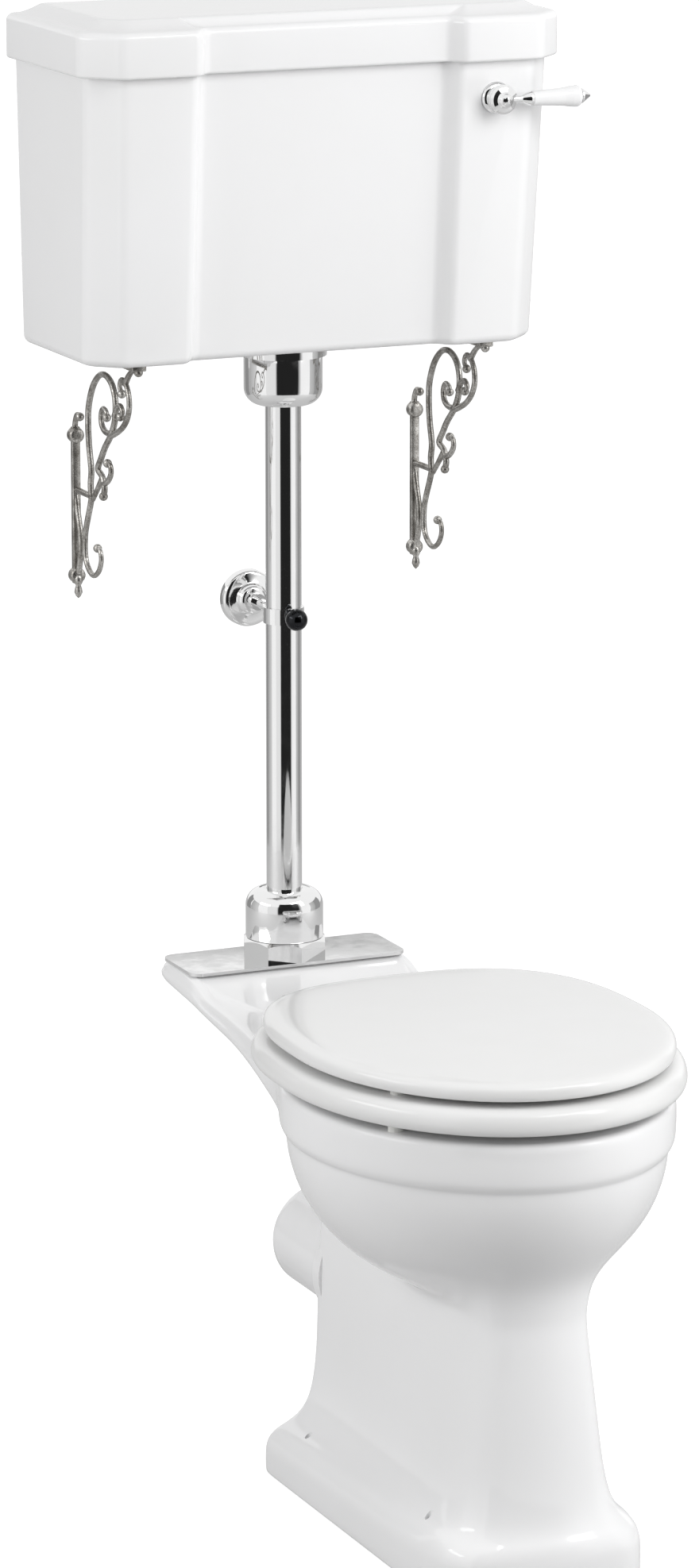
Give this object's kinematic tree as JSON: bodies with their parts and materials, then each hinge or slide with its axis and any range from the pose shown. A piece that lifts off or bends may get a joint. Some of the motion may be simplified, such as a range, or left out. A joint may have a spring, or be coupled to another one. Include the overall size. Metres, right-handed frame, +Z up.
{
  "type": "toilet",
  "caption": "Wash-down WC pan with seat and lid, ceramic cistern on scroll brackets at medium height, polished flush pipe, and a lever that lifts the siphon in the cistern.",
  "frame": {"origin": "on the floor, at the centre of the pan's foot", "axes": "+Z up, +Y to the wall, X along the wall with the flush lever at +X; the wall's face is at y = 0.488 m"},
  "size_m": [0.4951, 0.7392, 1.358],
  "materials": {
    "glazed_ceramic": "high-gloss white glaze",
    "seat_enamel": "gloss white",
    "polished_chrome": "polished chrome plate",
    "aged_nickel": "aged nickel plate on cast metal",
    "rubber": "matt black",
    "brass": "turned, unpolished",
    "white_plastic": "satin white",
    "grey_plastic": "satin grey",
    "float_plastic": "satin orange",
    "dark_metal": "polished, near black"
  },
  "bodies": {
    "suite": {"pan": "glazed_ceramic", "ledge_plate": "polished_chrome", "inlet_seal": "rubber", "inlet_stub": "brass", "plate_nut": "polished_chrome", "lower_cup_nut": "polished_chrome", "lower_cone_washer": "rubber", "flush_pipe": "polished_chrome", "upper_cup_nut": "polished_chrome", "upper_cone_washer": "rubber", "siphon_back_nut": "polished_chrome", "pipe_wall_flange": "polished_chrome", "pipe_clamp": "polished_chrome", "pipe_clamp_screw": "dark_metal", "cistern_body": "glazed_ceramic", "bracket_left": "aged_nickel", "bracket_right": "aged_nickel", "siphon_body": "white_plastic", "siphon_washers": "rubber", "lever_bush": "polished_chrome", "lever_back_nut": "brass", "fill_valve_body": "brass", "fill_valve_nut": "brass", "fill_valve_washer": "rubber", "float_pivot_pin": "brass", "hinge_posts": "polished_chrome", "hinge_bar": "polished_chrome", "hinge_washers": "rubber", "wing_nuts": "white_plastic"},
    "lever": {"lever_spindle": "brass", "lever_hub": "polished_chrome", "lever_handle": "glazed_ceramic", "lever_tip": "polished_chrome", "lever_inner_arm": "brass"},
    "plunger": {"siphon_piston": "grey_plastic", "siphon_flap": "rubber", "siphon_lift_rod": "brass", "lift_link": "brass"},
    "float": {"float_arm": "brass", "float_ball": "float_plastic"},
    "valve_piston": {"fill_valve_piston": "white_plastic"},
    "ring": {"seat_ring": "seat_enamel", "ring_hinge_arms": "polished_chrome", "ring_buffers": "white_plastic"},
    "lid": {"seat_lid": "seat_enamel", "lid_hinge_arms": "polished_chrome", "lid_buffers": "white_plastic"},
    "tank_lid": {"cistern_lid": "glazed_ceramic"}
  },
  "joints": [
    {"name": "lever_hinge", "type": "hinge", "parent": "suite", "child": "lever", "pos_m": [0.167, 0.288, 1.272], "axis": [0, 1, 0], "range_deg": [0, 32]},
    {"name": "plunger_lift", "type": "slide", "parent": "suite", "child": "plunger", "axis": [0, 0, 1], "range_m": [0, 0.0592]},
    {"name": "float_arm_hinge", "type": "hinge", "parent": "suite", "child": "float", "pos_m": [0.17071, 0.426, 1.27], "axis": [0, 1, 0], "range_deg": [-22, 0]},
    {"name": "valve_piston_slide", "type": "slide", "parent": "suite", "child": "valve_piston", "axis": [-1, 0, 0], "range_m": [0, 0.0055]},
    {"name": "seat_hinge", "type": "hinge", "parent": "suite", "child": "ring", "pos_m": [0, 0.2, 0.4555], "axis": [-1, 0, 0], "range_deg": [0, 100]},
    {"name": "lid_hinge", "type": "hinge", "parent": "ring", "child": "lid", "pos_m": [0, 0.2, 0.4555], "axis": [1, 0, 0], "range_deg": [-100, 0]},
    {"name": "cistern_lid_lift", "type": "slide", "parent": "suite", "child": "tank_lid", "axis": [0, 0, 1], "range_m": [0, 0.12]}
  ],
  "couplings": [
    {"joint": "plunger_lift", "follows": "lever_hinge", "m_per_rad": 0.1057},
    {"joint": "valve_piston_slide", "follows": "float_arm_hinge", "m_per_rad": -0.014}
  ]
}
